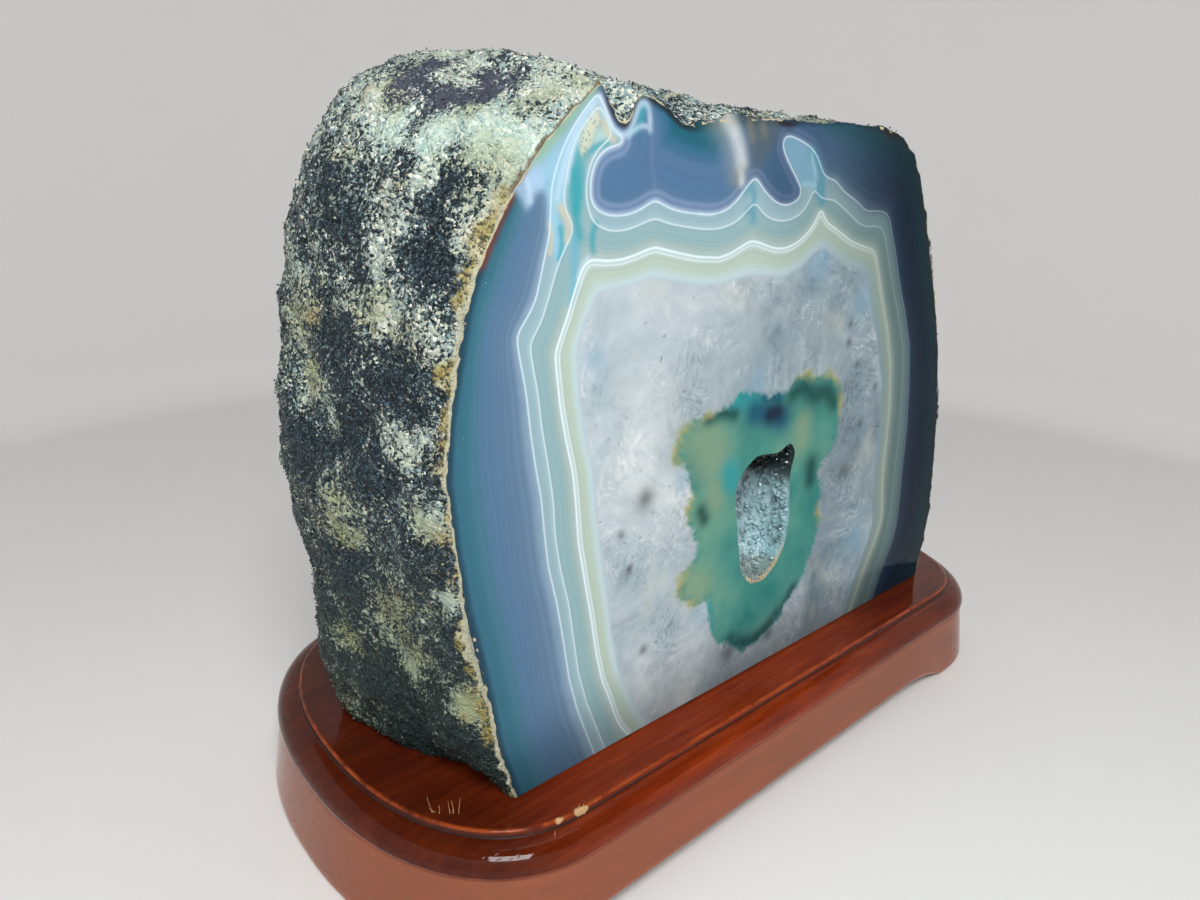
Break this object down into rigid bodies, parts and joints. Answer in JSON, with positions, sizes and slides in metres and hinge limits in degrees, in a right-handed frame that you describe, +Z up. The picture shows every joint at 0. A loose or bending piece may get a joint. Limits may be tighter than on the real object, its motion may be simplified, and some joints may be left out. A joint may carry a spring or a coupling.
{
  "type": "agate specimen",
  "caption": "Thick piece of banded blue and green agate with one flat polished face and a rough natural rind, standing upright on a low moulded wooden stand with rounded ends.",
  "frame": {"origin": "On the floor under the middle of the stand, which is the bottom centre of the whole object's box.", "axes": "X runs along the stand from the end with the rounded rind to the other end; -Y is the way the polished face looks; Z is up."},
  "size_m": [0.214, 0.1076, 0.1606],
  "materials": {
    "agate_stone": "polished front face, rough granular rind",
    "quartz_crystal": "glassy crystal faces",
    "stand_wood": "glossy dark red-brown lacquer"
  },
  "bodies": {
    "root": {"agate": "agate_stone", "crystal_crust": "quartz_crystal", "stand": "stand_wood"}
  },
  "joints": []
}
